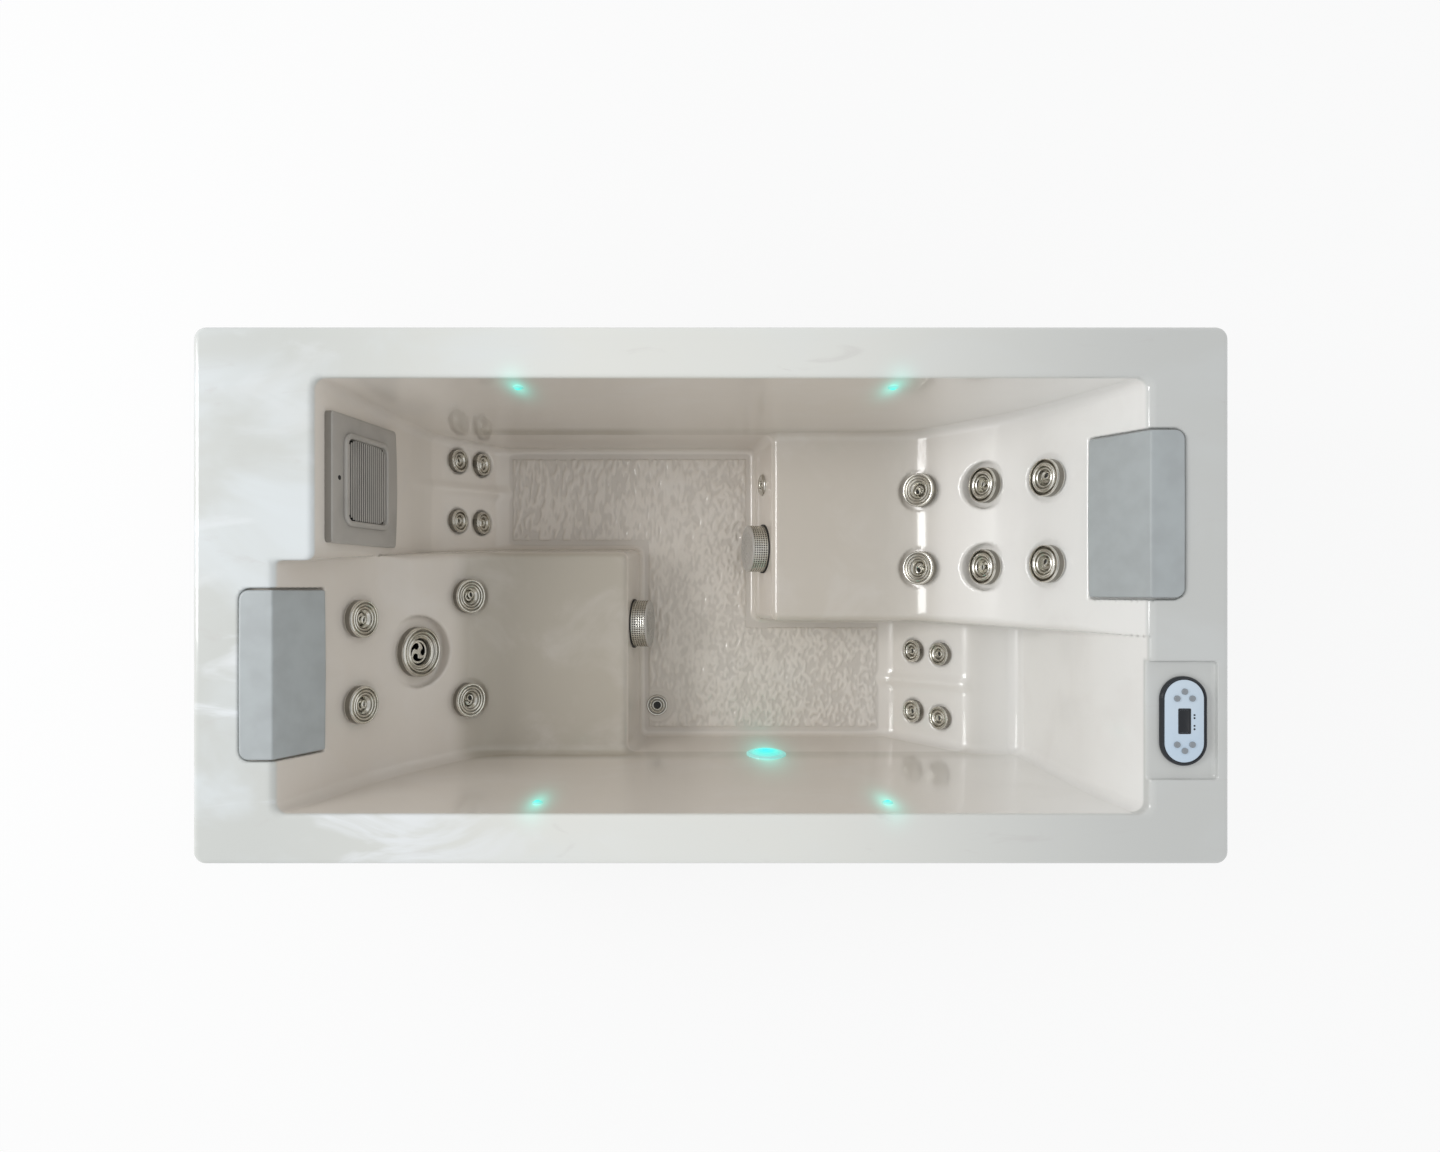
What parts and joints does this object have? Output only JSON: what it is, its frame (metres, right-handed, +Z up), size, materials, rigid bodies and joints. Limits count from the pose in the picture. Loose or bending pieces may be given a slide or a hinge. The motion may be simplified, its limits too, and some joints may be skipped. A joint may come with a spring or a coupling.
{
  "type": "hot tub",
  "caption": "Rectangular two-seat moulded hot tub with facing sloped backs, ringed jets, headrests, a filter grille, suction covers, lamps and a boxed cabinet.",
  "frame": {"origin": "on the floor, below the middle of the rim", "axes": "+X along the length towards the control panel, +Y towards the filter side, +Z up"},
  "size_m": [2.1, 1.09, 0.766],
  "materials": {
    "acrylic": "moulded acrylic, pearly off-white with faint marbling",
    "pillow_foam": "smooth closed foam, blue-grey",
    "jet_metal": "stamped stainless steel, ringed",
    "black_fitting": "moulded plastic, black",
    "gasket": "rubber ring",
    "grey_plastic": "moulded plastic, grey",
    "white_pipe": "rigid pipe and moulded housing, white",
    "paper": "pleated filter cloth between end caps",
    "hose": "flexible vinyl hose",
    "steel": "plated and stainless steel",
    "motor": "painted casting",
    "lens": "clear moulded lens, lit cyan",
    "panel_black": "dark glossy bezel round a pale face",
    "screen": "display window",
    "button": "moulded key cap, pale",
    "frame_paint": "painted square tube",
    "pan": "moulded base sheet",
    "board": "plain cladding board, grey-brown"
  },
  "bodies": {
    "tub": {"shell": "acrylic", "small_jet_faces": "jet_metal", "jet_bodies": "black_fitting", "jet_nuts": "black_fitting", "suction_bodies": "black_fitting", "pillow_sockets": "black_fitting", "light_bodies": "black_fitting", "control_box": "black_fitting", "cable_gland": "black_fitting", "suction_gaskets": "gasket", "filter_faceplate": "grey_plastic", "return_fitting": "grey_plastic", "suction_covers": "grey_plastic", "pressure_manifold": "white_pipe", "suction_pipe": "white_pipe", "filter_canister": "white_pipe", "drain_valve": "white_pipe", "filter_cartridge": "paper", "jet_hoses": "hose", "floor_drain": "steel", "heater": "steel", "panel_screws": "steel", "pump_motor": "motor", "pump_volute": "motor", "main_light_lens": "lens", "small_light_lenses": "lens", "topside_housing": "panel_black", "topside_screen": "screen", "frame_posts": "frame_paint", "frame_rails": "frame_paint", "base_pan": "pan", "floor_supports": "pan", "front_panel": "board", "back_panel": "board", "left_panel": "board", "right_panel": "board"},
    "left_pillow": {"left_pillow": "pillow_foam"},
    "right_pillow": {"right_pillow": "pillow_foam"},
    "jet_face_1": {"jet_face_1": "jet_metal"},
    "jet_face_2": {"jet_face_2": "jet_metal"},
    "jet_face_3": {"jet_face_3": "jet_metal"},
    "jet_face_4": {"jet_face_4": "jet_metal"},
    "jet_face_5": {"jet_face_5": "jet_metal"},
    "jet_face_6": {"jet_face_6": "jet_metal"},
    "jet_face_7": {"jet_face_7": "jet_metal"},
    "jet_face_8": {"jet_face_8": "jet_metal"},
    "jet_face_9": {"jet_face_9": "jet_metal"},
    "jet_face_10": {"jet_face_10": "jet_metal"},
    "large_jet_face": {"large_jet_face": "jet_metal"},
    "large_jet_spinner": {"large_jet_spinner": "jet_metal"},
    "filter_door": {"filter_door": "grey_plastic"},
    "weir_flap": {"weir_flap": "grey_plastic"},
    "pump_impeller": {"pump_impeller": "motor"},
    "drain_handle": {"drain_handle": "black_fitting"},
    "button_1": {"button_1": "button"},
    "button_2": {"button_2": "button"},
    "button_3": {"button_3": "button"},
    "button_4": {"button_4": "button"},
    "button_5": {"button_5": "button"},
    "button_6": {"button_6": "button"}
  },
  "joints": [
    {"name": "jet_face_1_turn", "type": "hinge", "parent": "tub", "child": "jet_face_1", "pos_m": [-0.79657, -0.054, 0.56071], "axis": [0.9205, 0, 0.3907], "range_deg": [0, 120]},
    {"name": "jet_face_2_turn", "type": "hinge", "parent": "tub", "child": "jet_face_2", "pos_m": [-0.79657, -0.247, 0.56071], "axis": [0.9205, 0, 0.3907], "range_deg": [0, 120]},
    {"name": "jet_face_3_turn", "type": "hinge", "parent": "tub", "child": "jet_face_3", "pos_m": [-0.61058, -0.005, 0.32951], "axis": [0.7771, 0, 0.6293], "range_deg": [0, 120]},
    {"name": "jet_face_4_turn", "type": "hinge", "parent": "tub", "child": "jet_face_4", "pos_m": [-0.61058, -0.265, 0.32951], "axis": [0.7771, 0, 0.6293], "range_deg": [0, 120]},
    {"name": "jet_face_5_turn", "type": "hinge", "parent": "tub", "child": "jet_face_5", "pos_m": [0.78023, 0.264, 0.54992], "axis": [-0.9205, 0, 0.3907], "range_deg": [0, 120]},
    {"name": "jet_face_6_turn", "type": "hinge", "parent": "tub", "child": "jet_face_6", "pos_m": [0.78023, 0.07, 0.54992], "axis": [-0.9205, 0, 0.3907], "range_deg": [0, 120]},
    {"name": "jet_face_7_turn", "type": "hinge", "parent": "tub", "child": "jet_face_7", "pos_m": [0.68371, 0.263, 0.42068], "axis": [-0.8988, 0, 0.4384], "range_deg": [0, 120]},
    {"name": "jet_face_8_turn", "type": "hinge", "parent": "tub", "child": "jet_face_8", "pos_m": [0.68371, 0.066, 0.42068], "axis": [-0.8988, 0, 0.4384], "range_deg": [0, 120]},
    {"name": "jet_face_9_turn", "type": "hinge", "parent": "tub", "child": "jet_face_9", "pos_m": [0.55005, 0.262, 0.31474], "axis": [-0.7071, 0, 0.7071], "range_deg": [0, 120]},
    {"name": "jet_face_10_turn", "type": "hinge", "parent": "tub", "child": "jet_face_10", "pos_m": [0.55005, 0.066, 0.31474], "axis": [-0.7071, 0, 0.7071], "range_deg": [0, 120]},
    {"name": "large_jet_face_turn", "type": "hinge", "parent": "tub", "child": "large_jet_face", "pos_m": [-0.71061, -0.138, 0.42229], "axis": [0.8829, 0, 0.4695], "range_deg": [0, 120]},
    {"name": "large_jet_spin", "type": "hinge", "parent": "tub", "child": "large_jet_spinner", "pos_m": [-0.71061, -0.138, 0.42229], "axis": [0.8829, 0, 0.4695], "continuous": true},
    {"name": "impeller_spin", "type": "hinge", "parent": "tub", "child": "pump_impeller", "pos_m": [-0.37, -0.25, 0.096], "axis": [1, 0, 0], "continuous": true},
    {"name": "weir_flap_swing", "type": "hinge", "parent": "tub", "child": "weir_flap", "pos_m": [-0.78184, 0.247, 0.51972], "axis": [0, -1, 0], "range_deg": [0, 40]},
    {"name": "filter_door_pull", "type": "slide", "parent": "tub", "child": "filter_door", "axis": [0.984, 0, 0.178], "range_m": [0, 0.04]},
    {"name": "left_pillow_lift", "type": "slide", "parent": "tub", "child": "left_pillow", "axis": [0, 0, 1], "range_m": [0, 0.04]},
    {"name": "right_pillow_lift", "type": "slide", "parent": "tub", "child": "right_pillow", "axis": [0, 0, 1], "range_m": [0, 0.04]},
    {"name": "drain_handle_turn", "type": "hinge", "parent": "tub", "child": "drain_handle", "pos_m": [-0.133, -0.5, 0.063], "axis": [0, 0, -1], "range_deg": [0, 90]},
    {"name": "button_1_press", "type": "slide", "parent": "tub", "child": "button_1", "axis": [0, 0, -1], "range_m": [0, 0.0015], "stiffness_N_per_m": 400},
    {"name": "button_2_press", "type": "slide", "parent": "tub", "child": "button_2", "axis": [0, 0, -1], "range_m": [0, 0.0015], "stiffness_N_per_m": 400},
    {"name": "button_3_press", "type": "slide", "parent": "tub", "child": "button_3", "axis": [0, 0, -1], "range_m": [0, 0.0015], "stiffness_N_per_m": 400},
    {"name": "button_4_press", "type": "slide", "parent": "tub", "child": "button_4", "axis": [0, 0, -1], "range_m": [0, 0.0015], "stiffness_N_per_m": 400},
    {"name": "button_5_press", "type": "slide", "parent": "tub", "child": "button_5", "axis": [0, 0, -1], "range_m": [0, 0.0015], "stiffness_N_per_m": 400},
    {"name": "button_6_press", "type": "slide", "parent": "tub", "child": "button_6", "axis": [0, 0, -1], "range_m": [0, 0.0015], "stiffness_N_per_m": 400}
  ]
}
